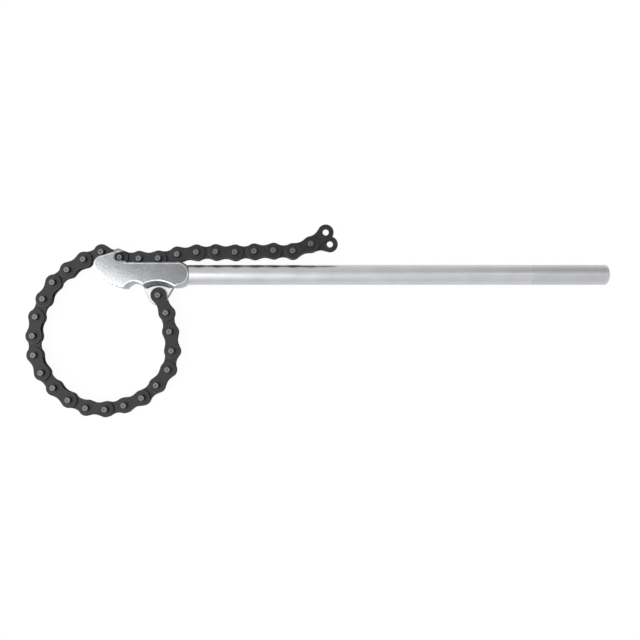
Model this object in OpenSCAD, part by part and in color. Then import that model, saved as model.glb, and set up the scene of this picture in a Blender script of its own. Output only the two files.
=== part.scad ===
// Chain pipe wrench lying on its side: a forged jaw head, a bar handle and a leaf chain that runs
// from the head's lug round in a loop and is hooked back into the head's cheeks by one of its pins.
// X runs along the handle, Y across it towards the chain slot, and Z up through the cheeks.
// The origin is on the head's lower face, under the handle's axis and level with the anchor pin.

/* [Jaw head] */
// Width of the head across its two cheeks
head_t = 24; // [21:0.5:30]
// Height of the cheeks' top edge above the handle's axis
cheek_top = 12.3; // [11.5:0.1:14]
// Distance from the anchor pin's axis to the nose tip, along the handle
nose_reach = 62.2; // [60:0.2:66]
// Radius of the rounded nose
nose_r = 8.5; // [7.5:0.1:9]
// Height of the nose's centre above the handle's axis
nose_y = 9.4; // [8.6:0.1:10]
// Rise of the nose's upper edge towards the hook, in degrees
nose_slope = 16.5; // [14:0.5:18]
// Radius of the toothed jaw face
jaw_r = 36; // [34:0.5:38]
// Height of the jaw face's centre above the handle's axis
jaw_centre_y = 21.9; // [20.5:0.1:23]
// Direction of the first tooth from the jaw face's centre, in degrees
jaw_first = 212; // [210:1:214]
// Direction of the heel from the jaw face's centre, in degrees
jaw_last = 259; // [256:1:261]
// Spacing of the teeth along the jaw face
tooth_pitch = 4.8; // [4:0.1:6]
// Depth of the teeth
tooth_depth = 1.6; // [1:0.1:2.2]
// Radius of the boss round the handle's socket
rear_r = 12.6; // [12.3:0.1:14]
// Distance from the anchor pin's axis back to the boss's centre
rear_x = 19.6; // [18:0.2:24]
// Width of the bevel along the cheeks' top edge and round the boss
face_bevel = 1.5; // [0.8:0.1:2]
// Height of that bevel
face_bevel_h = 6; // [3:0.5:6.5]
// Radius of the hollow in the head's lower edge, at the faces
wave_r = 12; // [10:0.5:13]
// Distance of that hollow's centre ahead of the anchor pin
wave_ahead = 22.5; // [21:0.5:24]
// Depth from the handle's axis to the top of that hollow
wave_drop = 7.7; // [7:0.1:9]
// Radius of the recess over the lug, at the faces
recess_r = 28.8; // [26:0.2:32]
// Depth from the handle's axis to the top of the recess
recess_drop = 7.2; // [6.6:0.1:8.5]
// Slope of the recess wall from the upright, in degrees
recess_slope = 17; // [5:1:22]
// Forging draft of the other lower edges, in degrees
draft = 7; // [3:1:9]

/* [Hook] */
// Distance of the hook's seat behind the nose tip
hook_back = 24.4; // [22.2:0.2:26.2]
// Height of the hook's seat above the cheeks' top edge
hook_lift = 4.4; // [4.2:0.1:5]
// Room round the hooked pin in its notch
notch_gap = 1; // [0.8:0.1:1.2]
// Slope of the way out of the notch, in degrees
notch_slope = 20; // [10:1:24]
// Radius of the horn over the notch
horn_r = 5; // [4.6:0.1:5.6]
// Height of the horn's centre above the hook's seat
horn_lift = 3.1; // [2.8:0.1:3.6]
// Distance of the horn's centre ahead of the hook's seat
horn_ahead = 0.5; // [0:0.1:1]
// Depth of the notch's mouth below its middle line
mouth_below = 2.4; // [2:0.1:2.8]
// Height of the lip under the notch above the cheeks' top edge
lip_h = 0.7; // [0.4:0.1:1]
// Distance of the lip's crest behind the hook's seat
lip_back = 2.8; // [2.4:0.1:3.2]
// Length of the slope behind the lip
lip_run = 4; // [3:0.5:6]

/* [Lug] */
// Distance of the anchor pin's axis below the handle's axis
anchor_drop = 20.6; // [20:0.2:23]
// Radius of the lug's end
lug_r = 9.9; // [8.5:0.1:10.5]
// Shift of the lug's end towards the nose
lug_ahead = 0.6; // [0:0.1:1]
// Width of the lug at its root
lug_root_w = 36; // [28:0.5:38]
// Shift of the lug's root towards the handle
lug_lean = 0.5; // [0:0.1:3]

/* [Handle] */
// Length of the wrench from the nose tip to the handle's end
tool_len = 508; // [400:1:620]
// Diameter of the bar
handle_d = 19.8; // [17:0.1:21]
// Length of the knurled grip
grip_len = 75; // [40:1:120]
// Width of the groove before the grip
grip_groove_w = 1.2; // [0.6:0.1:3]
// Depth of the groove before the grip
grip_groove_depth = 0.35; // [0.2:0.05:1]
// Rounding of the handle's end
handle_round = 3; // [1:0.1:5]
// Diameter of the spigot inside the head
spigot_d = 11; // [9:0.1:11.5]
// Length of the spigot
spigot_len = 24; // [16:0.5:26]
// Depth of the seat that the bar's shoulder stands in, from the boss's centre
shoulder_back = 2.4; // [1.5:0.1:4]
// Radial gap of the bar and the spigot in the head
socket_gap = 0.02; // [0.01:0.01:0.05]

/* [Chain] */
// Distance between neighbouring pins
pitch = 19.05; // [18.6:0.05:19.4]
// Height of a plate at its pins
plate_h = 15.8; // [14:0.1:16.2]
// Height of a plate at its waist
plate_waist = 11.6; // [10:0.1:12.4]
// Radius of the waist
waist_r = 12; // [10:0.5:13]
// Thickness of a plate
plate_t = 2.4; // [2:0.05:2.6]
// Gap between neighbouring plates
plate_gap = 0.1; // [0.05:0.01:0.15]
// Diameter of the pins
pin_d = 5.94; // [5.6:0.01:6.2]
// Length of the pins
pin_len = 18.5; // [16:0.1:20]
// Chamfer of the pins' ends
pin_chamfer = 0.5; // [0.2:0.05:1]
// Diameter of the dimple in a pin's end
dimple_d = 2; // [1:0.1:3]
// Depth of the dimple in a pin's end
dimple_depth = 0.5; // [0.2:0.05:0.8]
// Radial gap of a pin in the plates that turn on it
run_gap = 0.06; // [0.02:0.01:0.1]
// Radial gap of a pin in the plates that hold it
press_gap = 0.01; // [0.01:0.01:0.02]
// Gap between the chain and the sides of its slot
slot_gap = 0.35; // [0.2:0.05:0.8]
// Gap under the chain in its slot
slot_floor_gap = 0.7; // [0.4:0.1:1]
// Gap under the pin that rests on the cheeks
rest_gap = 0.3; // [0.2:0.05:0.5]

/* [Hidden] */
$fn = 96;
OUTER_LINKS = 16;
INNER_LINKS = OUTER_LINKS - 1;
HOOKED_PIN = 21;
// Links between the hook and the slot's ramp
LEVEL_LINKS = 2;
// Overshoot of cuts past the faces they open
past = 1;
// Overlap of outlines that run into each other
overlap = 0.2;
mid_z = head_t / 2;

// Bend of the chain at each pin between the anchor and the hook, in degrees
loop_bends = [
    -13, -5, -18, -24, -13, -18, -11, -16, -20, -15,
    -12, -16, -20, -11, -14, -8, -19, -8, -10, -39
];
// Headings of the links behind the pin that rests on the cheeks, in degrees
tail_headings = [1, 12, 6, 1, -1, 3, 2, -1, 21];
// Headings of the two loose end plates, in degrees
end_headings = [39, 1.5];

function unit(a) = [cos(a), sin(a)];
function across(a) = [-sin(a), cos(a)];
function aim(v) = atan2(v.y, v.x);
function total(v, i = 0) = i == len(v) - 1 ? v[i] : v[i] + total(v, i + 1);
function running(v) = [for (i = 0, s = 0; i <= len(v); s = s + (i < len(v) ? v[i] : 0), i = i + 1) s];

// Hook and anchor
anchor = [0, -anchor_drop];
hook = [hook_back - nose_reach, cheek_top + hook_lift];

// The loop keeps its bends, with one equal correction at every pin that closes it on the hook
loop_turns = running(loop_bends);
loop_links = len(loop_turns);
function loop_span(extra) = pitch * total([for (k = [0:loop_links - 1]) unit(loop_turns[k] + k * extra)]);
function closing_bend(low, high, steps) =
    let (middle = (low + high) / 2)
    steps == 0 ? middle
    : norm(loop_span(middle)) < norm(hook - anchor) ? closing_bend(middle, high, steps - 1)
    : closing_bend(low, middle, steps - 1);
bend_limit = 4;
halvings = 48;
loop_extra = closing_bend(-bend_limit, bend_limit, halvings);
loop_start = aim(hook - anchor) - aim(loop_span(loop_extra));
loop_headings = [for (k = [0:loop_links - 1]) loop_start + loop_turns[k] + k * loop_extra];

// The link behind the hook drops until its far pin rests on the cheeks
rest_y = cheek_top + rest_gap + pin_d / 2;
rest_heading = asin((rest_y - hook.y) / pitch);
headings = concat(loop_headings, [rest_heading], tail_headings);
link_x = running([for (a = headings) pitch * cos(a)]);
link_y = running([for (a = headings) pitch * sin(a)]);
pins = [for (k = [0:len(headings)]) anchor + [link_x[k], link_y[k]]];

// Chain layers, measured from the chain's middle
layer = plate_t + plate_gap;
inner_z = plate_gap / 2;
outer_z = inner_z + layer;
chain_w = 2 * (outer_z + plate_t);
slot_w = chain_w + 2 * slot_gap;
lug_t = 2 * (outer_z - plate_gap);
shoulder_h = (plate_h + plate_waist) / 2;

// Head
nose_centre = [nose_r - nose_reach, nose_y];
jaw_centre = [nose_centre.x + sqrt(pow(jaw_r - nose_r, 2) - pow(jaw_centre_y - nose_y, 2)), jaw_centre_y];
heel = jaw_centre + jaw_r * unit(jaw_last);
rear = [rear_x, 0];
horn = hook + [-horn_ahead, horn_lift];
lip = [hook.x + lip_back, cheek_top + lip_h];
cheek_front = lip.x + lip_run;
notch_r = pin_d / 2 + notch_gap;
slot_floor = rest_y - plate_h / 2 - slot_floor_gap;
shoulder_x = rear_x + shoulder_back;
handle_end = tool_len - nose_reach;

function node_name(stem, k) = str(stem, k < 10 ? "0" : "", k);

// Outline of the toothed jaw face: a sector of the jaw circle with a notch between each two teeth
module jaw_sector() {
    span = jaw_last - jaw_first;
    step = tooth_pitch / jaw_r * 180 / PI;
    teeth = floor(span / step);
    sides = 3;
    far = (jaw_r + past) / cos(span / sides / 2);
    difference() {
        intersection() {
            translate(jaw_centre)
                circle(r = jaw_r);
            polygon(concat(
                [[heel.x, 0], nose_centre],
                [for (k = [0:sides]) jaw_centre + far * unit(jaw_first + k * span / sides)]
            ));
        }
        for (k = [0:teeth - 1])
            translate(jaw_centre)
                rotate(jaw_first + (k + 0.5) * step)
                    polygon([
                        [jaw_r - tooth_depth, 0],
                        [jaw_r + past, tooth_depth + past],
                        [jaw_r + past, -tooth_depth - past]
                    ]);
    }
}

// Outline of the head at its middle, without the slot and the lug
module head_outline() {
    nose_edge = nose_centre + (nose_r - overlap) * across(nose_slope);
    nose_run = (horn.x - horn_r / 2 - nose_edge.x) / cos(nose_slope);
    polygon([
        [rear.x, cheek_top],
        [cheek_front, cheek_top],
        lip,
        hook,
        horn,
        nose_edge + nose_run * unit(nose_slope),
        nose_edge,
        nose_centre,
        heel,
        [rear.x, -cheek_top]
    ]);
    translate(nose_centre)
        circle(r = nose_r);
    translate(horn)
        circle(r = horn_r);
    jaw_sector();
}

// A round boss with a bevelled edge at both faces
module rear_boss() {
    translate(rear) {
        cylinder(r1 = rear_r - face_bevel, r2 = rear_r, h = face_bevel_h);
        translate([0, 0, face_bevel_h])
            cylinder(r = rear_r, h = head_t - 2 * face_bevel_h);
        translate([0, 0, head_t - face_bevel_h])
            cylinder(r1 = rear_r, r2 = rear_r - face_bevel, h = face_bevel_h);
    }
}

// A hollow that widens from the middle layer to both faces
module drafted_hollow(centre, r_face, slope, half_web) {
    depth = mid_z - half_web;
    r_web = r_face - depth * tan(slope);
    r_past = r_face + past * tan(slope);
    for (side = [0, 1])
        translate([centre.x, centre.y, mid_z])
            mirror([0, 0, side])
                translate([0, 0, half_web])
                    cylinder(r1 = r_web, r2 = r_past, h = depth + past);
}

// The bevel along the cheeks' top edge, behind the hook
module top_bevel() {
    for (side = [0, 1])
        translate([cheek_front, 0, mid_z])
            mirror([0, 0, side])
                rotate([90, 0, 90])
                    linear_extrude(rear.x - cheek_front)
                        polygon([
                            [cheek_top - face_bevel, mid_z],
                            [cheek_top, mid_z - face_bevel_h],
                            [cheek_top + past, mid_z - face_bevel_h],
                            [cheek_top + past, mid_z + past],
                            [cheek_top - face_bevel, mid_z + past]
                        ]);
}

// The chain's slot: a level floor, then a ramp along the underside of the link that rises out of it
module chain_slot() {
    ramp_link = HOOKED_PIN + LEVEL_LINKS;
    ramp_a = headings[ramp_link];
    ramp_point = pins[ramp_link] - (plate_h / 2 + slot_floor_gap) * across(ramp_a);
    ramp_x = ramp_point.x + (slot_floor - ramp_point.y) / tan(ramp_a);
    ramp_end = rear.x + rear_r + past;
    front = -nose_reach - past;
    top = horn.y + horn_r + past;
    translate([0, 0, mid_z - slot_w / 2])
        linear_extrude(slot_w)
            polygon([
                [front, slot_floor],
                [ramp_x, slot_floor],
                [ramp_end, slot_floor + (ramp_end - ramp_x) * tan(ramp_a)],
                [ramp_end, top],
                [front, top]
            ]);
}

// The hook's notch and its way out, through both cheeks
module hook_notch() {
    mouth_above = notch_r - overlap;
    mouth_len = 2 * (horn_r + notch_r);
    translate([hook.x, hook.y, -past]) {
        cylinder(r = notch_r, h = head_t + 2 * past);
        rotate(notch_slope)
            translate([0, -mouth_below, 0])
                cube([mouth_len, mouth_below + mouth_above, head_t + 2 * past]);
    }
}

// The tongue under the head that carries the chain's anchor pin
module lug() {
    touch_r = lug_r - overlap;
    end = anchor - [lug_ahead, 0];
    roots = [for (way = [-1, 1]) [lug_lean + way * lug_root_w / 2, -recess_drop]];
    reach = [for (root = roots) norm(root - end)];
    left_touch = aim(roots[0] - end) + acos(touch_r / reach[0]);
    right_touch = aim(roots[1] - end) - acos(touch_r / reach[1]);
    translate([0, 0, mid_z - lug_t / 2])
        linear_extrude(lug_t) {
            translate(end)
                circle(r = lug_r);
            polygon([
                roots[0],
                roots[1],
                end + touch_r * unit(right_touch),
                end + touch_r * unit(left_touch)
            ]);
        }
}

// Forged head with its slot, hook, lug and handle socket
module jaw_head() {
    color("silver")
        difference() {
            union() {
                difference() {
                    union() {
                        linear_extrude(head_t)
                            head_outline();
                        rear_boss();
                    }
                    drafted_hollow([0, -recess_drop - recess_r], recess_r, recess_slope, lug_t / 2);
                    drafted_hollow([-wave_ahead, -wave_drop - wave_r], wave_r, draft, 0);
                    top_bevel();
                    chain_slot();
                    hook_notch();
                }
                lug();
            }
            translate([anchor.x, anchor.y, 0])
                cylinder(d = pin_d + 2 * run_gap, h = head_t);
            translate([shoulder_x, 0, mid_z])
                rotate([0, 90, 0])
                    cylinder(d = handle_d + 2 * socket_gap, h = rear_r + handle_d);
            translate([shoulder_x - spigot_len, 0, mid_z])
                rotate([0, 90, 0])
                    cylinder(d = spigot_d + 2 * socket_gap, h = spigot_len + past);
        }
}

// Round bar with a turned spigot, a groove before the grip and a rounded end
module handle_bar() {
    bar_r = handle_d / 2;
    bar_len = handle_end - shoulder_x;
    groove_at = bar_len - grip_len - grip_groove_w;
    color("gainsboro")
        translate([shoulder_x, 0, mid_z])
            rotate([0, 90, 0])
                difference() {
                    union() {
                        translate([0, 0, -spigot_len])
                            cylinder(d = spigot_d, h = spigot_len + past);
                        rotate_extrude() {
                            square([bar_r, bar_len - handle_round]);
                            square([bar_r - handle_round, bar_len]);
                            translate([bar_r - handle_round, bar_len - handle_round])
                                circle(r = handle_round);
                        }
                    }
                    translate([0, 0, groove_at])
                        rotate_extrude()
                            translate([bar_r - grip_groove_depth, 0])
                                square([past, grip_groove_w]);
                }
}

// Outline of a waisted plate with its first pin at the origin and its second on +X
module plate_outline() {
    difference() {
        union() {
            circle(d = plate_h);
            translate([pitch, 0])
                circle(d = plate_h);
            translate([0, -shoulder_h / 2])
                square([pitch, shoulder_h]);
        }
        for (side = [-1, 1])
            translate([pitch / 2, side * (plate_waist / 2 + waist_r)])
                circle(r = waist_r);
    }
}

// One plate between two heights, with its two pin holes
module plate(z, gap) {
    translate([0, 0, z])
        difference() {
            linear_extrude(plate_t)
                plate_outline();
            for (x = [0, pitch])
                translate([x, 0, -past])
                    cylinder(d = pin_d + 2 * gap, h = plate_t + 2 * past);
        }
}

// Places its children at a pin of the chain, turned to a heading
module at_pin(index, heading) {
    translate([pins[index].x, pins[index].y, mid_z])
        rotate(heading)
            children();
}

// The two outer plates of one outer link
module outer_plates(k) {
    first = 2 * (k - 1);
    color("dimgray")
        at_pin(first, headings[first])
            for (side = [0, 1])
                mirror([0, 0, side])
                    plate(outer_z, press_gap);
}

// The two inner plates of one inner link
module inner_plates(k) {
    first = 2 * k - 1;
    color("dimgray")
        at_pin(first, headings[first])
            for (side = [0, 1])
                mirror([0, 0, side])
                    plate(inner_z, run_gap);
}

// One loose inner plate on the last pin
module end_plate(side) {
    color("dimgray")
        at_pin(len(pins) - 1, end_headings[side])
            mirror([0, 0, side])
                plate(inner_z, run_gap);
}

// One pin with chamfered, dimpled ends
module chain_pin() {
    body = pin_len - 2 * pin_chamfer;
    tip_d = pin_d - 2 * pin_chamfer;
    translate([0, 0, -pin_len / 2])
        difference() {
            union() {
                cylinder(d1 = tip_d, d2 = pin_d, h = pin_chamfer);
                translate([0, 0, pin_chamfer])
                    cylinder(d = pin_d, h = body);
                translate([0, 0, pin_chamfer + body])
                    cylinder(d1 = pin_d, d2 = tip_d, h = pin_chamfer);
            }
            for (end = [0, 1])
                translate([0, 0, end * pin_len])
                    mirror([0, 0, end])
                        cylinder(d1 = dimple_d, d2 = dimple_d / 2, h = dimple_depth);
        }
}

// The two pins that one outer link's plates are pressed on
module chain_pins(k) {
    first = 2 * (k - 1);
    color("darkgray")
        for (index = [first, first + 1])
            at_pin(index, 0)
                chain_pin();
}

jaw_head();
handle_bar();
for (k = [1:OUTER_LINKS]) {
    outer_plates(k);
    chain_pins(k);
}
for (k = [1:INNER_LINKS]) {
    inner_plates(k);
}
end_plate(0);  // end_plate_near
end_plate(1);  // end_plate_far
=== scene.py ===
import logging
import math
from dataclasses import dataclass
from enum import Enum
from typing import Sequence, Union

import bmesh
import bpy
import numpy as np
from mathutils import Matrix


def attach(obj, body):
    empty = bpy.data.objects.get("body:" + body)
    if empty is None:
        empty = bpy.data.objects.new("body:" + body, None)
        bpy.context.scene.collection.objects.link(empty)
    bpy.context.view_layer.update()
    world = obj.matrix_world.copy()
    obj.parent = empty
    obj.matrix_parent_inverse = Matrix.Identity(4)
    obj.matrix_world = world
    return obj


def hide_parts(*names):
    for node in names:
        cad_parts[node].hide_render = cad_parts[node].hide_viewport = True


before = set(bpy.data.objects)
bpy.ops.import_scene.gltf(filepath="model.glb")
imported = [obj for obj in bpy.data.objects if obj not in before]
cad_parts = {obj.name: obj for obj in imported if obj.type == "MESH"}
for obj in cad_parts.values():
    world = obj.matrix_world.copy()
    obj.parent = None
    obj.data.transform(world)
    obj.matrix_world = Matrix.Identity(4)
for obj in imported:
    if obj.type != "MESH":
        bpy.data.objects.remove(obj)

LOG = logging.getLogger("chain_wrench")

# Metres in a millimetre, and the height of the wrench's middle plane in mm.
MM = 0.001
MID_Z = 12.0

# Edges of the head, the bar and the plates that turn more than this, in degrees, are shaded sharp.
SHARP_TURN = 32.0

# Ends of a range, or of a step up and a step down.
WHOLE = RISING = (0.0, 1.0)
FALLING = (1.0, 0.0)

Pair = tuple[float, float]
Triple = tuple[float, float, float]
Colour = tuple[float, float, float]
Socket = bpy.types.NodeSocket
Sockets = bpy.types.bpy_prop_collection
Feed = Union[Socket, float, tuple[float, ...]]


class Slot(str, Enum):
    """The record's material slots."""

    HEAD = "forged_head"
    HANDLE = "handle_steel"
    PLATE = "chain_plate"
    PIN = "chain_pin"


class Group(str, Enum):
    """Shader node groups that more than one finish uses."""

    MOTTLE = "surface_mottle"
    GRAIN = "directional_grain"
    EDGE = "edge_wear"


class Mask(str, Enum):
    """Attributes of a mesh that its finish reads."""

    EDGE = "edge"
    WALL = "wall"
    PALE_AND_PAINTED_LIGHT = "pale"


class Kind(str, Enum):
    """Types of a group's sockets."""

    NUMBER = "NodeSocketFloat"
    VECTOR = "NodeSocketVector"
    COLOUR = "NodeSocketColor"


class Op(str, Enum):
    """Steps of arithmetic between nodes."""

    TIMES = "MULTIPLY"
    PLUS = "ADD"
    TIMES_PLUS = "MULTIPLY_ADD"


class Step(str, Enum):
    """How a range is crossed."""

    EVEN = "LINEAR"
    SOFT = "SMOOTHSTEP"


class Blend(Enum):
    """What a Mix node mixes: its data type, the places of its two inputs and of its result."""

    NUMBER = ("FLOAT", 2, 3, 0)
    COLOUR = ("RGBA", 6, 7, 2)


# Shader nodes


def grey(level: float) -> Colour:
    """A neutral colour."""
    return (level, level, level)


def opaque(colour: Colour) -> tuple[float, float, float, float]:
    """A colour with full cover, as a colour socket takes it."""
    return (*colour, 1.0)


@dataclass
class Wiring:
    """Adds nodes to one node tree and joins them."""

    tree: bpy.types.NodeTree

    def feed(self, target: Socket, source: Feed) -> None:
        """Links an output to an input, or gives the input a value.

        Args:
            target: the input.
            source: another node's output, or a plain value.
        """
        if isinstance(source, Socket):
            self.tree.links.new(source, target)
        else:
            target.default_value = source

    def place(self) -> Socket:
        """The piece's own coordinates."""
        return self.tree.nodes.new("ShaderNodeTexCoord").outputs["Object"]

    def mask(self, mask: Mask) -> Socket:
        """One of the mesh's masks.

        Args:
            mask: which mask.

        Returns:
            Its value.
        """
        node = self.tree.nodes.new("ShaderNodeAttribute")
        node.attribute_name = mask.value
        return node.outputs["Fac"]

    def noise(self, place: Socket, scale: Feed, detail: float) -> Socket:
        """A cloudy noise.

        Args:
            place: the coordinates that it is read at.
            scale: how often it repeats along them.
            detail: how many finer layers it has.

        Returns:
            Its value.
        """
        node = self.tree.nodes.new("ShaderNodeTexNoise")
        for key, source in (("Vector", place), ("Scale", scale), ("Detail", detail)):
            self.feed(node.inputs[key], source)
        return node.outputs["Fac"]

    def math(self, op: Op, *terms: Feed, clamp: bool = False) -> Socket:
        """One step of arithmetic.

        Args:
            op: the step.
            terms: its numbers or outputs, in order.
            clamp: whether the result stays between 0 and 1.

        Returns:
            The result.
        """
        node = self.tree.nodes.new("ShaderNodeMath")
        node.operation, node.use_clamp = op.value, clamp
        for target, term in zip(node.inputs, terms):
            self.feed(target, term)
        return node.outputs[0]

    def product(self, *factors: Socket) -> Socket:
        """The product of several outputs.

        Args:
            factors: what is multiplied, in order.

        Returns:
            The whole product.
        """
        result = factors[0]
        for factor in factors[1:]:
            result = self.math(Op.TIMES, result, factor)
        return result

    def stretched(self, place: Socket, stretch: Socket) -> Socket:
        """Coordinates multiplied by a factor for each axis.

        Args:
            place: the coordinates.
            stretch: the three factors.

        Returns:
            The new coordinates.
        """
        node = self.tree.nodes.new("ShaderNodeVectorMath")
        node.operation = Op.TIMES.value
        self.feed(node.inputs[0], place)
        self.feed(node.inputs[1], stretch)
        return node.outputs[0]

    def mix(self, blend: Blend, factor: Feed, first: Feed, second: Feed) -> Socket:
        """A mix of two numbers or two colours.

        Args:
            blend: what is mixed.
            factor: the share of the second.
            first: the number or colour at no share.
            second: the number or colour at full share.

        Returns:
            The mix.
        """
        kind, low, high, result = blend.value
        node = self.tree.nodes.new("ShaderNodeMix")
        node.data_type = kind
        for key, source in (("Factor", factor), (low, first), (high, second)):
            self.feed(node.inputs[key], source)
        return node.outputs[result]

    def ramp(self, value: Socket, reach: Pair, ends: tuple[Feed, Feed] = RISING,
             step: Step = Step.EVEN) -> Socket:
        """Maps a range of one output to another range, and stays at its ends beyond it.

        Args:
            value: what is measured.
            reach: where the range begins and ends.
            ends: the results there.
            step: how the range is crossed.

        Returns:
            The result.
        """
        node = self.tree.nodes.new("ShaderNodeMapRange")
        node.interpolation_type = step.value
        for key, source in (("Value", value), ("From Min", reach[0]), ("From Max", reach[1]),
                            ("To Min", ends[0]), ("To Max", ends[1])):
            self.feed(node.inputs[key], source)
        return node.outputs["Result"]

    def bump(self, height: Socket, strength: float, depth: float) -> Socket:
        """The normals of small relief.

        Args:
            height: the relief, from 0 to 1.
            strength: its strength.
            depth: its depth, in metres.

        Returns:
            The normals.
        """
        node = self.tree.nodes.new("ShaderNodeBump")
        for key, source in (("Height", height), ("Strength", strength), ("Distance", depth)):
            self.feed(node.inputs[key], source)
        return node.outputs["Normal"]

    def group(self, group: Group, **sources: Feed) -> Sockets:
        """Places a shared group with its own values.

        Args:
            group: which group.
            sources: its inputs' values, or the outputs that feed them.

        Returns:
            Its outputs.
        """
        node = self.tree.nodes.new("ShaderNodeGroup")
        node.node_tree = bpy.data.node_groups[group.value]
        for key, source in sources.items():
            self.feed(node.inputs[key], source)
        return node.outputs


@dataclass
class GroupBench:
    """Makes the shared shader groups, once each.

    A detail is a noise's number of finer layers. The scale of the patches that break up the edge colour
    is in cycles per metre.
    """

    broad_detail: float = 5.0
    fine_detail: float = 3.0
    fine_ratio: float = 9.0
    fine_share: float = 0.35
    mottle_reach: Pair = (0.3, 0.7)
    line_detail: float = 4.0
    edge_patch_scale: float = 220.0
    edge_patch_detail: float = 4.0

    def fresh(self, group: Group, inputs: dict[str, Kind],
              outputs: dict[str, Kind]) -> tuple[Wiring, Sockets, Sockets]:
        """A new group with its sockets.

        Args:
            group: which group.
            inputs: the names and types of its inputs.
            outputs: the names and types of its outputs.

        Returns:
            Its wiring, what comes in, and what it puts out.
        """
        tree = bpy.data.node_groups.new(group.value, "ShaderNodeTree")
        for way, sockets in (("INPUT", inputs), ("OUTPUT", outputs)):
            for name, kind in sockets.items():
                tree.interface.new_socket(name, in_out=way, socket_type=kind.value)
        into, out = tree.nodes.new("NodeGroupInput"), tree.nodes.new("NodeGroupOutput")
        return Wiring(tree), into.outputs, out.inputs

    def mottle(self) -> None:
        """Cloudy change of colour and roughness: a broad and a fine noise, mixed, then mapped to ranges."""
        wires, into, out = self.fresh(
            Group.MOTTLE,
            {"Scale": Kind.NUMBER, "Dark": Kind.COLOUR, "Light": Kind.COLOUR,
             "Smooth": Kind.NUMBER, "Rough": Kind.NUMBER},
            {"Colour": Kind.COLOUR, "Roughness": Kind.NUMBER, "Height": Kind.NUMBER})
        place = wires.place()
        broad = wires.noise(place, into["Scale"], self.broad_detail)
        finer = wires.math(Op.TIMES, into["Scale"], self.fine_ratio)
        fine = wires.noise(place, finer, self.fine_detail)
        cloud = wires.ramp(wires.mix(Blend.NUMBER, self.fine_share, broad, fine), self.mottle_reach)
        wires.feed(out["Colour"], wires.mix(Blend.COLOUR, cloud, into["Dark"], into["Light"]))
        wires.feed(out["Roughness"], wires.ramp(cloud, WHOLE, (into["Smooth"], into["Rough"])))
        wires.feed(out["Height"], fine)

    def grain(self) -> None:
        """Fine lines along one direction: a noise whose coordinates are stretched along each axis."""
        wires, into, out = self.fresh(
            Group.GRAIN, {"Stretch": Kind.VECTOR, "Depth": Kind.NUMBER}, {"Height": Kind.NUMBER})
        lines = wires.noise(wires.stretched(wires.place(), into["Stretch"]), 1.0, self.line_detail)
        wires.feed(out["Height"], wires.math(Op.TIMES, lines, into["Depth"]))

    def edge(self) -> None:
        """A second colour where the mesh's edge mask is, broken up by a noise.

        On rounded edges the colour is paler and paints a highlight, on the head together with rubbed metal.
        In the bar's knurl and groove it is darker.
        """
        wires, into, out = self.fresh(
            Group.EDGE, {"Colour": Kind.COLOUR, "Worn": Kind.COLOUR, "Amount": Kind.NUMBER},
            {"Colour": Kind.COLOUR})
        patches = wires.noise(wires.place(), self.edge_patch_scale, self.edge_patch_detail)
        broken = wires.math(Op.TIMES, wires.mask(Mask.EDGE), patches)
        amount = wires.math(Op.TIMES, broken, into["Amount"], clamp=True)
        wires.feed(out["Colour"], wires.mix(Blend.COLOUR, amount, into["Colour"], into["Worn"]))

    def build(self) -> None:
        """Makes every group."""
        self.mottle()
        self.grain()
        self.edge()


# Finishes


@dataclass(frozen=True)
class MetalFinish:
    """One metal surface: its mottling, grain and masks, on a metallic shader.

    Colours are linear, the mottle's scale and the grain's stretch are in cycles per metre, and the bump's
    depth is in mm. A finish with an edge share reads the edge mask and shows its edge colour there. On
    rounded edges that colour is paler and paints a highlight, on the head together with rubbed bare metal.
    In the bar's knurl valleys and groove it is darker. One with a wall roughness reads the wall and pale
    masks, whose pale colour is partly painted light.
    """

    name: str
    dark: Colour
    light: Colour
    smooth: float
    rough: float
    mottle_scale: float
    stretch: Triple
    grain_depth: float
    bump: float
    bump_depth: float = 0.1
    metallic: float = 1.0
    graze: float = 1.0
    edge_share: float = 0.0
    edge_colour: Colour = grey(0.0)
    wall_rough: float = 0.0
    pale: Colour = grey(0.0)

    def material(self) -> bpy.types.Material:
        """Builds the finish.

        Returns:
            A node material: mottled colour with worn edges, mottled roughness, and grain as bump.
        """
        made = bpy.data.materials.new(self.name)
        made.use_nodes = True
        wires = Wiring(made.node_tree)
        shader = made.node_tree.nodes["Principled BSDF"].inputs
        shader["Metallic"].default_value = self.metallic
        shader["Specular Tint"].default_value = opaque(grey(self.graze))
        cloud = wires.group(Group.MOTTLE, Scale=self.mottle_scale, Dark=opaque(self.dark),
                            Light=opaque(self.light), Smooth=self.smooth, Rough=self.rough)
        grain = wires.group(Group.GRAIN, Stretch=self.stretch, Depth=self.grain_depth)
        tone, gloss = cloud["Colour"], cloud["Roughness"]
        if self.edge_share:
            tone = wires.group(Group.EDGE, Colour=tone, Worn=opaque(self.edge_colour), Amount=self.edge_share)["Colour"]
        if self.wall_rough:
            tone = wires.mix(Blend.COLOUR, wires.mask(Mask.PALE_AND_PAINTED_LIGHT), tone, opaque(self.pale))
            gloss = wires.mix(Blend.NUMBER, wires.mask(Mask.WALL), gloss, self.wall_rough)
        relief = wires.math(Op.PLUS, cloud["Height"], grain["Height"])
        wires.feed(shader["Base Color"], tone)
        wires.feed(shader["Roughness"], gloss)
        wires.feed(shader["Normal"], wires.bump(relief, self.bump, self.bump_depth * MM))
        return made


# The paler edge colour paints a highlight along the head's rounded edges, together with rubbed metal. The
# pale colour is partly the walls' as-forged finish and partly painted reflection, shade and highlight.
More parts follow.
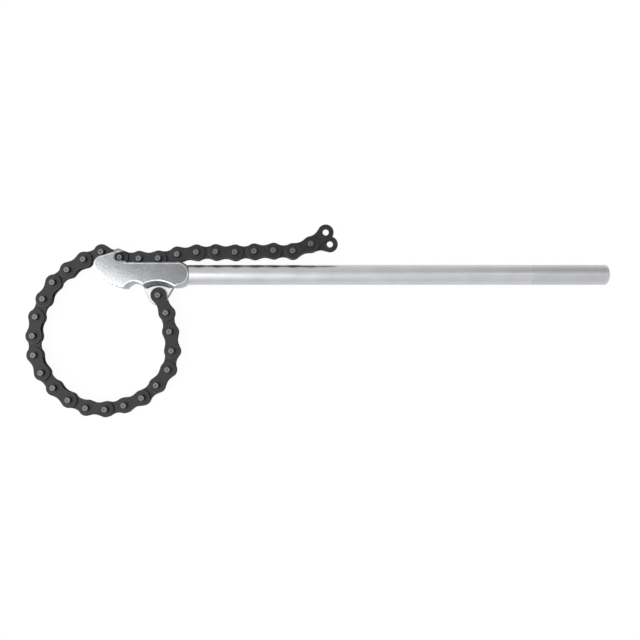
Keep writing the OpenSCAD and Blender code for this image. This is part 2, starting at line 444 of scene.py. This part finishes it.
PLATED_HEAD = MetalFinish(
    name="satin_plated_forging", dark=(0.175, 0.179, 0.183), light=(0.215, 0.219, 0.223),
    smooth=0.11, rough=0.16, mottle_scale=38.0, stretch=(90.0, 900.0, 900.0), grain_depth=0.5, bump=0.16,
    edge_share=1.5, edge_colour=grey(0.74), wall_rough=0.55, pale=(0.76, 0.76, 0.77))
# The bar's edge colour is darker. It darkens the groove and the knurl's valleys.
PLATED_BAR = MetalFinish(
    name="bright_plated_bar", dark=(0.524, 0.528, 0.537), light=(0.592, 0.596, 0.605),
    smooth=0.27, rough=0.34, mottle_scale=55.0, stretch=(2600.0, 60.0, 60.0), grain_depth=0.7, bump=0.10,
    edge_share=0.8, edge_colour=(0.42, 0.42, 0.425))
# The paler edge colour paints a highlight along the plates' rounded edges.
BLACK_OXIDE = MetalFinish(
    name="oiled_black_oxide", dark=grey(0.0240), light=grey(0.0415),
    smooth=0.36, rough=0.52, mottle_scale=120.0, stretch=(700.0, 700.0, 700.0), grain_depth=0.6, bump=0.22,
    metallic=0.85, graze=0.3, edge_share=1.0, edge_colour=grey(0.10))
GROUND_PIN = MetalFinish(
    name="ground_pin_end", dark=grey(0.086), light=grey(0.136),
    smooth=0.30, rough=0.46, mottle_scale=260.0, stretch=(1500.0, 1500.0, 1500.0), grain_depth=0.5, bump=0.20)
# The hooked pin in the head's notch: a touch darker and rougher than the other pins.
NOTCH_PIN = MetalFinish(
    name="notch_pin_end", dark=grey(0.085), light=grey(0.13),
    smooth=0.34, rough=0.50, mottle_scale=260.0, stretch=(1500.0, 1500.0, 1500.0), grain_depth=0.5, bump=0.20)


# Meshes


def new_piece(name: str, mesh: bpy.types.Mesh, body: str, nodes: Sequence[str],
              material: bpy.types.Material) -> bpy.types.Object:
    """Puts a finished mesh into the scene as one piece of the wrench.

    Args:
        name: the piece's name.
        mesh: its mesh, in metres, in the row frame.
        body: the CAD body it rides on.
        nodes: the CAD nodes it stands for.
        material: its finish.

    Returns:
        The new object.
    """
    piece = bpy.data.objects.new(name, mesh)
    bpy.context.scene.collection.objects.link(piece)
    mesh.materials.clear()
    mesh.materials.append(material)
    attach(piece, body)
    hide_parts(*nodes)
    LOG.info("%s: %d faces on %s", name, len(mesh.polygons), body)
    return piece


def even_normals(piece: bpy.types.Object) -> None:
    """Lets the large faces of a piece rule its shading, so that its flats look flat."""
    piece.modifiers.new("even_normals", "WEIGHTED_NORMAL").keep_sharp = True


def shade(mesh: bpy.types.Mesh, turn: float) -> None:
    """Shades a mesh smooth, apart from edges that turn more than an angle in degrees."""
    mesh.polygons.foreach_set("use_smooth", np.ones(len(mesh.polygons), dtype=bool))
    mesh.set_sharp_from_angle(angle=math.radians(turn))


def face_values(mesh: bpy.types.Mesh, key: str) -> np.ndarray:
    """One vector of every face.

    Args:
        mesh: the mesh.
        key: which vector: "normal" or "center".

    Returns:
        A row of three for each face.
    """
    flat = np.empty(3 * len(mesh.polygons))
    mesh.polygons.foreach_get(key, flat)
    return flat.reshape(-1, 3)


@dataclass(frozen=True)
class Rounding:
    """A rounded edge made of rings from the outline inwards, in mm.

    Each ring has a width and the depth to which its outer side sinks. Points of a ring's inner side that are
    closer than merge become one. In the CAD mesh, points within weld are one, and faces that turn less than
    same_turn, in degrees, are one face. A face is flat if its normal rises or falls by more than upright and
    it lies within slack of its level. A ring's faces are told apart from above and below by ring_upright.
    """

    widths: tuple[float, ...]
    drops: tuple[float, ...]
    merge: float
    weld: float = 0.001
    same_turn: float = 0.5
    upright: float = 0.999
    slack: float = 0.01
    ring_upright: float = 0.5

    def is_flat(self, face: bmesh.types.BMFace, levels: Sequence[float]) -> bool:
        """Whether a face lies flat, at one of the levels in mm if any are given."""
        away = [abs(face.calc_center_median().z / MM - level) for level in levels] or [0.0]
        return abs(face.normal.z) > self.upright and min(away) < self.slack

    def copy(self, node: str, name: str, levels: Sequence[float] = ()) -> bpy.types.Mesh:
        """A copy of a CAD node's mesh with the edges of its flat faces rounded and put into the edge mask.

        Args:
            node: the CAD node.
            name: the new mesh's name.
            levels: heights of the flat faces that are rounded, in mm; every flat face if none is given.

        Returns:
            The new mesh, in metres, with smooth shading broken at sharp edges.
        """
        work = bmesh.new()
        work.from_mesh(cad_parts[node].data)
        bmesh.ops.remove_doubles(work, verts=work.verts, dist=self.weld * MM)
        bmesh.ops.dissolve_limit(work, angle_limit=math.radians(self.same_turn), verts=work.verts,
                                 edges=work.edges)
        mask, flat = work.faces.layers.float.new(Mask.EDGE.value), work.faces.layers.int.new("flat")
        for face in work.faces:
            face[flat] = int(self.is_flat(face, levels))
        for width, drop in zip(self.widths, self.drops):
            flats = [face for face in work.faces if face[flat]]
            ring = bmesh.ops.inset_region(work, faces=flats, thickness=width * MM, use_even_offset=True,
                                          use_boundary=True)["faces"]
            # A dict keeps its order where a set doesn't, so every run merges the same points.
            inner = dict.fromkeys(vert for face in flats for vert in face.verts)
            for face in ring:
                face[flat], face[mask] = 0, 1.0
            for way in (1.0, -1.0):
                facing = [face for face in ring if face.normal.z * way > self.ring_upright]
                outer = dict.fromkeys(vert for face in facing for vert in face.verts)
                sunk = [vert for vert in outer if vert not in inner]
                bmesh.ops.translate(work, verts=sunk, vec=(0.0, 0.0, -way * drop * MM))
            bmesh.ops.remove_doubles(work, verts=list(inner), dist=self.merge * MM)
        work.faces.layers.int.remove(flat)
        mesh = bpy.data.meshes.new(name)
        work.to_mesh(mesh)
        work.free()
        shade(mesh, SHARP_TURN)
        return mesh


def turned_points(radius: np.ndarray, height: np.ndarray, count: int) -> np.ndarray:
    """Points of rings about +Z: the point of row k at angle a is (r cos a, r sin a, h_k).

    Args:
        radius: the radii, one for each row, or one for each row and angle.
        height: the height of each row.
        count: points round each row.

    Returns:
        The points, ring by ring.
    """
    turn = np.arange(count) * 2 * np.pi / count
    rings = [radius * np.cos(turn), radius * np.sin(turn), np.repeat(height[:, None], count, axis=1)]
    return np.stack(rings, axis=-1).reshape(-1, 3)


def turned_faces(rows: int, count: int) -> tuple[np.ndarray, np.ndarray]:
    """Faces of rings with a pole at either end, where the two poles' points follow those of the rings.

    Args:
        rows: how many rings there are.
        count: points round each ring.

    Returns:
        Quads between the rings, by row and column, and triangles at the poles, as index arrays.
    """
    corner = np.arange(rows - 1)[:, None] * count + np.arange(count)
    beside = np.roll(corner, -1, axis=1)
    quads = np.stack([corner, beside, beside + count, corner + count], axis=-1)
    first, pole = np.arange(count), np.full(count, rows * count)
    last = first + (rows - 1) * count
    bottom = np.stack([pole, np.roll(first, -1), first], axis=-1)
    top = np.stack([pole + 1, last, np.roll(last, -1)], axis=-1)
    return quads, np.vstack([bottom, top])


def mesh_from(name: str, points: np.ndarray, faces: Sequence[np.ndarray], turn: float) -> bpy.types.Mesh:
    """A mesh from points in mm and arrays of faces, smooth up to an angle.

    Args:
        name: the mesh's name.
        points: its points, in mm, in the row frame.
        faces: arrays of quads or triangles.
        turn: edges that turn more than this, in degrees, stay sharp.

    Returns:
        The new mesh, in metres.
    """
    mesh = bpy.data.meshes.new(name)
    mesh.from_pydata((points * MM).tolist(), [], [face for block in faces for face in block.tolist()])
    mesh.update()
    shade(mesh, turn)
    return mesh


def arc(centre: Pair, radius: float, start: float, end: float, count: int) -> np.ndarray:
    """Points of a circle's arc between two angles in degrees, as rows of two."""
    turn = np.radians(np.linspace(start, end, count))
    return np.column_stack([centre[0] + radius * np.cos(turn), centre[1] + radius * np.sin(turn)])


# The wrench


@dataclass
class JawHead:
    """The forged head: the CAD form with its edges rounded over, bright on its faces and paler elsewhere.

    A face whose normal rises less than face_tilt is an as-forged wall, and a face at the lug's half thickness
    whose normal rises more than web_tilt is its web. Spots and reaches are in mm. The other values say how
    much of the pale colour a wall, the recess and the web show, and how much of the painted edge highlight
    the notch's edges keep. On the walls the pale colour is partly their as-forged finish and partly a painted
    reflection of the floor. The recess shows less of it than the walls, as painted shade. On the web it is
    a painted highlight.
    """

    thickness: float = 24.0
    rounding: Rounding = Rounding((0.25, 0.3, 0.3, 0.35), (0.42, 0.24, 0.11, 0.04), 0.3)
    face_tilt: float = 0.6
    wall_pale_and_sheen: float = 0.45
    notch_at: Pair = (-38.4, 16.9)
    notch_reach: float = 8.5
    notch_highlight: float = 0.15
    recess_at: Pair = (0.0, -36.0)
    recess_reach: float = 29.5
    recess_shade_pale: float = 0.21
    lug_at: Pair = (0.0, -20.6)
    lug_reach: float = 14.0
    web_half: float = 2.45
    web_slack: float = 0.01
    web_tilt: float = 0.9
    web_painted_highlight: float = 0.74

    def masks(self, mesh: bpy.types.Mesh) -> None:
        """Marks the as-forged walls and the lug's web in two masks, and takes the painted edge highlight off
        near the notch and on the lug's rim.

        Args:
            mesh: the head's mesh, with its edge mask.
        """
        edge = np.empty(len(mesh.polygons))
        mesh.attributes[Mask.EDGE.value].data.foreach_get("value", edge)
        rise = np.abs(face_values(mesh, "normal")[:, 2])
        middles = face_values(mesh, "center") / MM

        def near(spot: Pair, reach: float) -> np.ndarray:
            """Whether each face is within reach of a spot."""
            return np.linalg.norm(middles[:, :2] - spot, axis=1) < reach

        thin = np.abs(middles[:, 2] - MID_Z) < self.web_half + self.web_slack
        web = thin & (rise > self.web_tilt) & (edge == 0)
        rim = thin & ~web & near(self.lug_at, self.lug_reach)
        wall = (rise < self.face_tilt) & ~rim & (edge == 0)
        # Painted light in the pale mask. On the walls it is partly a painted reflection of the floor. The
        # recess gets less of it, as painted shade. The lug's web gets a painted highlight.
        pale = np.where(near(self.recess_at, self.recess_reach), self.recess_shade_pale, self.wall_pale_and_sheen) * wall
        # Less of the painted edge highlight near the notch, and none on the lug's rim.
        edge *= np.where(near(self.notch_at, self.notch_reach), self.notch_highlight, 1.0) * ~rim
        mesh.attributes[Mask.EDGE.value].data.foreach_set("value", edge)
        for mask, values in ((Mask.WALL, wall | web), (Mask.PALE_AND_PAINTED_LIGHT, np.where(web, self.web_painted_highlight, pale))):
            layer = mesh.attributes.new(mask.value, "FLOAT", "FACE")
            layer.data.foreach_set("value", values.astype(float))

    def build(self, finish: MetalFinish) -> bpy.types.Object:
        """Makes the head's piece.

        Args:
            finish: the head's finish.

        Returns:
            The new object.
        """
        levels = (0.0, MID_Z - self.web_half, MID_Z + self.web_half, self.thickness)
        mesh = self.rounding.copy("jaw_head", "jaw_head_forging", levels)
        self.masks(mesh)
        piece = new_piece("jaw_head_forging", mesh, "wrench", ["jaw_head"], finish.material())
        even_normals(piece)
        return piece


@dataclass
class HandleBar:
    """The round bar: a spigot and shoulder, a plain length, a groove, a diamond knurl and a rounded end.

    Lengths are in mm. plain_gaps are the plain length's distances from the shoulder and from the groove, and
    knurl_gaps those of the knurl from the groove and from the rounded end. groove_darkening is the share of
    the bar's darker edge colour in the groove.
    """

    shoulder_x: float = 22.0
    end_x: float = 445.8
    radius: float = 9.9
    shoulder_chamfer: float = 0.3
    spigot_r: float = 5.5
    spigot_len: float = 24.0
    spigot_chamfer: float = 0.6
    plain_gaps: Pair = (20.0, 10.0)
    plain_rows: int = 8
    grip_len: float = 75.0
    groove_w: float = 1.5
    groove_depth: float = 0.45
    groove_slope: float = 0.1
    groove_rows: int = 2
    groove_darkening: float = 0.6
    teeth: int = 32
    knurl_angle: float = 30.0
    knurl_depth: float = 0.06
    knurl_gaps: Pair = (0.05, 0.3)
    end_round: float = 3.0
    end_rows: int = 9

    def front(self) -> np.ndarray:
        """The bar from the spigot's end to the groove.

        Returns:
            Rows of (radius, distance along the bar), of which the first is the pole.
        """
        start, grip = self.shoulder_x - self.spigot_len, self.end_x - self.grip_len
        body = [[0, start], [self.spigot_r - self.spigot_chamfer, start],
                [self.spigot_r, start + self.spigot_chamfer], [self.spigot_r, self.shoulder_x],
                [self.radius - self.shoulder_chamfer, self.shoulder_x],
                [self.radius, self.shoulder_x + self.shoulder_chamfer]]
        after, before = self.plain_gaps
        along = np.linspace(self.shoulder_x + after, grip - self.groove_w - before, self.plain_rows)
        plain = np.column_stack([np.full(self.plain_rows, self.radius), along])
        low = self.radius - self.groove_depth
        groove = [[self.radius, grip - self.groove_w - self.groove_slope],
                  [low, grip - self.groove_w], [low, grip]]
        return np.vstack([body, plain, groove])

    def knurl(self) -> tuple[np.ndarray, np.ndarray]:
        """The knurl on a grid of half a diamond: high where row and column differ in parity, else low.

        Returns:
            The radii, by row and column, and each row's distance along the bar.
        """
        pitch = 2 * math.pi * self.radius / self.teeth / math.tan(math.radians(self.knurl_angle))
        count = int((self.grip_len - self.end_round) / (pitch / 2))
        rows, columns = np.arange(count)[:, None], np.arange(2 * self.teeth)[None, :]
        after, before = self.knurl_gaps
        along = np.linspace(self.end_x - self.grip_len + after, self.end_x - self.end_round - before, count)
        return self.radius - self.knurl_depth * ((rows + columns) % 2 == 0), along

    def tip(self) -> np.ndarray:
        """The rounded end: rows of (radius, distance along the bar), a quarter of a circle."""
        centre = (self.radius - self.end_round, self.end_x - self.end_round)
        return arc(centre, self.end_round, 0, 90, self.end_rows)

    def diamonds(self, quads: np.ndarray) -> list[np.ndarray]:
        """Halves the knurl's quads along the ridges between their high corners.

        Args:
            quads: the quads by row and column.

        Returns:
            Four arrays of triangles.
        """
        rows, columns = np.arange(len(quads))[:, None], np.arange(quads.shape[1])[None, :]
        even = (rows + columns) % 2 == 0
        return [quads[even][:, [0, 1, 2]], quads[even][:, [0, 2, 3]],
                quads[~even][:, [0, 1, 3]], quads[~even][:, [1, 2, 3]]]

    def build(self, finish: MetalFinish) -> bpy.types.Object:
        """Makes the bar's piece.

        Args:
            finish: the bar's finish.

        Returns:
            The new object.
        """
        count = 2 * self.teeth
        front, (bumps, along), tip = self.front(), self.knurl(), self.tip()
        round_rows = [np.repeat(part[:, :1], count, axis=1) for part in (front[1:], tip)]
        radius = np.vstack([round_rows[0], bumps, round_rows[1]])
        x = np.concatenate([front[1:, 1], along, tip[:, 1]])
        rings = np.roll(turned_points(radius, x, count), 1, axis=1)
        poles = [[front[0, 1], 0.0, 0.0], [self.end_x, 0.0, 0.0]]
        quads, caps = turned_faces(len(x), count)
        start, stop = len(front) - 1, len(front) - 1 + len(bumps)
        plain = np.vstack([quads[:start], quads[stop - 1:]]).reshape(-1, 4)
        halves = self.diamonds(quads[start:stop - 1])
        points = np.vstack([rings, poles]) + [0.0, 0.0, MID_Z]
        mesh = mesh_from("handle_bar_turned", points, [plain, *halves, caps], SHARP_TURN)
        smooth = np.ones(len(mesh.polygons), dtype=bool)
        smooth[len(plain):-len(caps)] = False
        mesh.polygons.foreach_set("use_smooth", smooth)
        # Darker in the groove and in the knurl's valleys: each point's share of the darker edge colour.
        valley_darkening = np.zeros((len(x), count))
        valley_darkening[start - self.groove_rows:start] = self.groove_darkening
        valley_darkening[start:stop] = bumps < self.radius
        layer = mesh.attributes.new(Mask.EDGE.value, "FLOAT", "POINT")
        layer.data.foreach_set("value", np.append(valley_darkening.ravel(), np.zeros(len(poles))))
        return new_piece("handle_bar_turned", mesh, "wrench", ["handle_bar"], finish.material())


@dataclass
class LeafChain:
    """The leaf chain: waisted plates with rounded edges, and pins with rounded, dimpled ends.

    Lengths are in mm. dimple_floor is the share of the dimple's radius that is flat, dimple_lip the share of
    its radius and the depth where its wall ends, and dimple_rim the width of the slope outside it.
    """

    outer_links: int = 16
    hooked_link: int = 11
    rounding: Rounding = Rounding((0.2, 0.3), (0.3, 0.1), 0.05)
    pin_r: float = 2.97
    pin_half: float = 9.25
    pin_corner: float = 0.5
    corner_rows: int = 5
    dimple_r: float = 1.0
    dimple_depth: float = 0.5
    dimple_floor: float = 0.5
    dimple_lip: Pair = (0.95, 0.04)
    dimple_rim: float = 0.15
    pin_faces: int = 40
    pin_turn: float = 40.0

    def pin_profile(self) -> np.ndarray:
        """One pin: a dimple, a flat, a rounded corner and the shank, then the same mirrored.

        Returns:
            Rows of (radius, height), poles first and last.
        """
        low, floor = -self.pin_half, self.dimple_depth - self.pin_half
        share, sunk = self.dimple_lip
        dimple = [[0, floor], [self.dimple_floor * self.dimple_r, floor],
                  [share * self.dimple_r, low + sunk], [self.dimple_r + self.dimple_rim, low]]
        centre = (self.pin_r - self.pin_corner, low + self.pin_corner)
        half = np.vstack([dimple, arc(centre, self.pin_corner, -90, 0, self.corner_rows)])
        return np.vstack([half, half[::-1] * [1, -1]])

    def pin_centres(self, node: str) -> np.ndarray:
        """The axes of a node's two pins: the middles of its points' boxes on either side of their mean.

        Args:
            node: the CAD node of the pins.

        Returns:
            Two rows of (x, y), in mm.
        """
        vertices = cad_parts[node].data.vertices
        flat = np.empty(3 * len(vertices))
        vertices.foreach_get("co", flat)
        spots = flat.reshape(-1, 3)[:, :2] / MM
        spread = spots - spots.mean(axis=0)
        axis = np.linalg.svd(spread, full_matrices=False)[2][0]
        ahead = spread @ axis > 0
        return np.array([(half.min(axis=0) + half.max(axis=0)) / 2 for half in (spots[ahead], spots[~ahead])])

    def pins(self, number: int, material: bpy.types.Material, notch_pin: bpy.types.Material) -> bpy.types.Object:
        """The two pins of one outer link as one piece.

        Args:
            number: the outer link's number.
            material: the pins' finish.
            notch_pin: the finish of the hooked pin, which sits in the head's notch: a touch darker and
                rougher than the other pins.

        Returns:
            The new object.
        """
        node, name = f"chain_pins_{number:02d}", f"pins_{number:02d}"
        profile, centres = self.pin_profile(), self.pin_centres(node)
        rows = profile[1:-1]
        pin = np.vstack([turned_points(rows[:, :1], rows[:, 1], self.pin_faces),
                         [[0, 0, profile[0, 1]], [0, 0, profile[-1, 1]]]])
        quads, ends = turned_faces(len(rows), self.pin_faces)
        both = np.vstack([pin + [*centre, MID_Z] for centre in centres])
        faces = [block + shift * len(pin) for block in (quads.reshape(-1, 4), ends) for shift in (0, 1)]
        mesh = mesh_from(name, both, faces, self.pin_turn)
        piece = new_piece(name, mesh, f"outer_link_{number:02d}", [node], material)
        if number == self.hooked_link:
            mesh.materials.append(notch_pin)
            away = np.linalg.norm(face_values(mesh, "center")[:, None, :2] / MM - centres[None], axis=2)
            hooked = np.argmin(away, axis=1) == np.argmax(centres[:, 0])
            mesh.polygons.foreach_set("material_index", hooked.astype(np.int32))
        return piece

    def plates(self, node: str, body: str, material: bpy.types.Material) -> bpy.types.Object:
        """One link's plates as one piece with rounded edges.

        Args:
            node: the CAD node of the plates.
            body: the CAD body they ride on.
            material: their finish.

        Returns:
            The new object.
        """
        mesh = self.rounding.copy(node, f"{node}_stamped")
        piece = new_piece(f"{node}_stamped", mesh, body, [node], material)
        even_normals(piece)
        return piece

    def build(self, plate: MetalFinish, pin: MetalFinish, hooked: MetalFinish) -> None:
        """Makes every link of the chain.

        Args:
            plate: the plates' finish.
            pin: the pins' finish.
            hooked: the hooked pin's finish.
        """
        black, ground, notch_pin = plate.material(), pin.material(), hooked.material()
        for number in range(1, self.outer_links + 1):
            self.plates(f"outer_plates_{number:02d}", f"outer_link_{number:02d}", black)
            self.pins(number, ground, notch_pin)
        for number in range(1, self.outer_links):
            self.plates(f"inner_plates_{number:02d}", f"inner_link_{number:02d}", black)
        for side in ("near", "far"):
            self.plates(f"end_plate_{side}", f"end_link_{side}", black)


# The studio


@dataclass
class Studio:
    """A pale floor, soft light and a camera straight above the wrench, as in the photograph.

    Lengths are in metres, apart from the camera's lens and sensor in mm. The sky's reaches are directions'
    parts along +X (across) and +Y (back), where a step begins and ends.
    """

    camera_at: Triple = (0.1474, -0.0844, 0.816)
    lens: float = 45.45
    sensor: float = 36.0
    shift: Pair = (0.0198, 0.0621)
    floor_reach: float = 4.0
    floor_z: float = -0.0002
    floor_base: float = 0.06
    floor_glow: float = 0.94
    floor_rough: float = 0.9
    floor_specular: float = 0.1
    sky_tint: Colour = (0.97, 0.98, 1.0)
    sky_bright: float = 0.93
    sky_dim: float = 0.58
    dim_across: Pair = (-0.16, 0.40)
    dim_back: Pair = (0.10, 0.55)
    horizon_across: Pair = (0.12, 0.28)
    horizon_back: Pair = (0.62, 0.86)
    sky_glow: float = 2.25
    glow_across: Pair = (-0.45, 0.25)
    glow_rise: Pair = (-0.95, -0.37)
    glow_fall: Pair = (-0.37, 0.50)
    panel_corner: Pair = (-0.123, 0.0275)
    panel_lean: float = -26.6
    panel_z: float = 0.83
    panel_size: Pair = (0.26, 0.22)
    panel_glow: float = 4.8
    strip_at: Triple = (0.62, 0.10, 0.83)
    strip_size: Pair = (0.36, 0.16)
    strip_glow: float = 0.46

    def camera(self) -> None:
        """Makes the camera, which looks straight down with +Y up the picture."""
        data = bpy.data.cameras.new("camera")
        data.lens = self.lens
        data.sensor_width = self.sensor
        data.shift_x, data.shift_y = self.shift
        eye = bpy.data.objects.new("camera", data)
        eye.location = self.camera_at
        bpy.context.scene.collection.objects.link(eye)
        bpy.context.scene.camera = eye

    def floor(self) -> None:
        """Makes the pale floor under the wrench."""
        near, far = -self.floor_reach, self.floor_reach
        corners = [(near, near), (far, near), (far, far), (near, far)]
        mesh = bpy.data.meshes.new("floor")
        mesh.from_pydata([(*corner, self.floor_z) for corner in corners], [], [(0, 1, 2, 3)])
        paper = bpy.data.materials.new("pale_floor")
        paper.use_nodes = True
        shader = paper.node_tree.nodes["Principled BSDF"].inputs
        shader["Base Color"].default_value = opaque(grey(self.floor_base))
        shader["Emission Color"].default_value = opaque(grey(1.0))
        shader["Emission Strength"].default_value = self.floor_glow
        shader["Roughness"].default_value = self.floor_rough
        shader["Specular IOR Level"].default_value = self.floor_specular
        mesh.materials.append(paper)
        floor = bpy.data.objects.new("floor", mesh)
        bpy.context.scene.collection.objects.link(floor)

    def panel(self, name: str, at: np.ndarray, turn: float, size: Pair, glow: float) -> None:
        """A soft rectangular light that faces straight down.

        Args:
            name: the light's name.
            at: its place.
            turn: its turn about the upright, in radians.
            size: its two sides, in metres.
            glow: its brightness, which times pi and its area is its power in watts.
        """
        data = bpy.data.lights.new(name, "AREA")
        data.shape = "RECTANGLE"
        data.size, data.size_y = size
        data.energy = glow * math.pi * size[0] * size[1]
        lamp = bpy.data.objects.new(name, data)
        lamp.location = at
        lamp.rotation_euler = (0.0, 0.0, turn)
        bpy.context.scene.collection.objects.link(lamp)

    def surroundings(self) -> None:
        """Pale surroundings: a broad glow overhead to the left, and a dim band half-way up at the back.

        The band is deeper to the right, and open at the horizon on the left.
        """
        world = bpy.data.worlds.new("studio")
        world.use_nodes = True
        wires = Wiring(world.node_tree)
        place = world.node_tree.nodes.new("ShaderNodeTexCoord")
        axes = world.node_tree.nodes.new("ShaderNodeSeparateXYZ")
        wires.feed(axes.inputs[0], place.outputs["Generated"])
        across, back = axes.outputs["X"], axes.outputs["Y"]

        def soft(value: Socket, reach: Pair, ends: Pair = RISING) -> Socket:
            """A soft step of one direction or mask."""
            return wires.ramp(value, reach, ends, Step.SOFT)

        horizon = wires.product(soft(back, self.horizon_back), soft(across, self.horizon_across, FALLING))
        dim = wires.product(soft(back, self.dim_back), soft(across, self.dim_across),
                            soft(horizon, WHOLE, FALLING))
        leftward = soft(across, self.glow_across, FALLING)
        glow = wires.product(leftward, leftward, soft(back, self.glow_rise),
                             soft(back, self.glow_fall, FALLING))
        even = soft(dim, WHOLE, (self.sky_bright, self.sky_dim))
        sky = world.node_tree.nodes["Background"].inputs
        sky["Color"].default_value = opaque(self.sky_tint)
        wires.feed(sky["Strength"], wires.math(Op.TIMES_PLUS, glow, self.sky_glow, even))
        bpy.context.scene.world = world
        bpy.context.scene.view_settings.view_transform = "Standard"

    def light(self) -> None:
        """The surroundings, one soft panel to the left above the wrench, and a weak strip over its grip."""
        self.surroundings()
        lean = math.radians(self.panel_lean)
        length, depth = self.panel_size
        along = np.array([math.cos(lean), math.sin(lean), 0.0])
        inward = np.array([math.sin(lean), -math.cos(lean), 0.0])
        middle = np.array([*self.panel_corner, self.panel_z]) - along * length / 2 + inward * depth / 2
        self.panel("panel_left", middle, lean, self.panel_size, self.panel_glow)
        self.panel("strip_right", np.array(self.strip_at), 0.0, self.strip_size, self.strip_glow)

    def build(self) -> None:
        """Makes the camera, the floor and the light."""
        self.camera()
        self.floor()
        self.light()


def main() -> None:
    """Builds the wrench's pieces in order, then the studio."""
    logging.basicConfig(level=logging.INFO, format="%(name)s: %(message)s")
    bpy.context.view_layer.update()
    GroupBench().build()
    JawHead().build(PLATED_HEAD)
    HandleBar().build(PLATED_BAR)
    LeafChain().build(BLACK_OXIDE, GROUND_PIN, NOTCH_PIN)
    Studio().build()
    bpy.context.view_layer.update()


if __name__ == "__main__":
    main()
